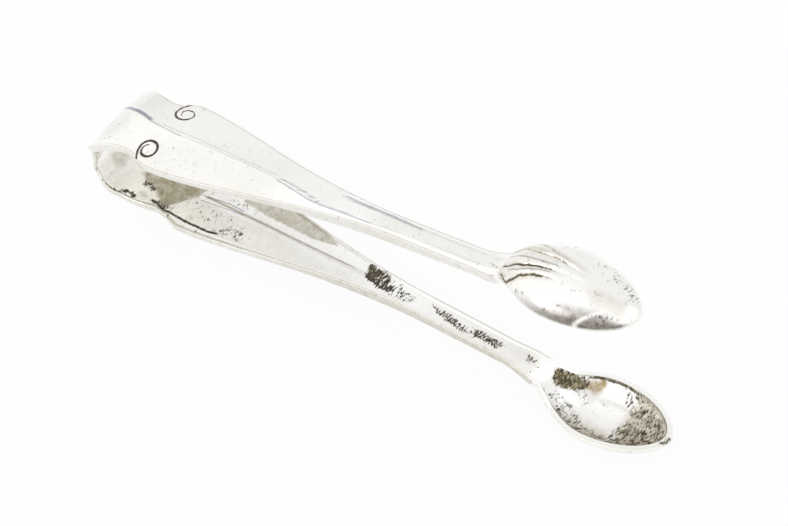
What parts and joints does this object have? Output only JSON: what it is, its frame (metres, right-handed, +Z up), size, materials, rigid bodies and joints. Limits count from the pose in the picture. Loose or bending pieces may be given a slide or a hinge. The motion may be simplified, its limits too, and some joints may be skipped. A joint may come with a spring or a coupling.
{
  "type": "ice tongs",
  "caption": "Slender sprung tongs in old silver: a U-shaped bow, two ridged arms that taper from a broad shoulder, and an egg-shaped spoon bowl at the end of each.",
  "frame": {"origin": "centre of the tongs' footprint on the table, at the height of the table", "axes": "+X from the bow to the bowls, +Y across the band, +Z up; the tongs lie on the ridge of the lower arm and the back of the lower bowl, and open upward"},
  "size_m": [0.1208, 0.0158, 0.0376],
  "materials": {
    "bow_silver": "polished silver, worn, with tan tarnish on the inside",
    "arm_silver": "polished silver, worn, with dark engraving and mottled tarnish",
    "bowl_silver": "polished silver, bright on the back, mottled dark tarnish in the hollow"
  },
  "bodies": {
    "lower_half": {"lower_arm": "arm_silver", "lower_bow_leg": "bow_silver", "lower_bowl": "bowl_silver"},
    "crown": {"bow_crown": "bow_silver"},
    "upper_half": {"upper_bow_leg": "bow_silver", "upper_arm": "arm_silver", "upper_bowl": "bowl_silver"}
  },
  "joints": [
    {"name": "crown_flex", "type": "hinge", "parent": "lower_half", "child": "crown", "pos_m": [-0.05416, 0, 0.00438], "axis": [0, 1, 0], "range_deg": [0, 6.8], "stiffness_Nm_per_rad": 2.2},
    {"name": "arm_flex", "type": "hinge", "parent": "crown", "child": "upper_half", "pos_m": [-0.05507, 0, 0.01331], "axis": [0, 1, 0], "range_deg": [0, 6.8], "stiffness_Nm_per_rad": 2.2}
  ],
  "couplings": [
    {"joint": "arm_flex", "follows": "crown_flex", "ratio": 1}
  ]
}
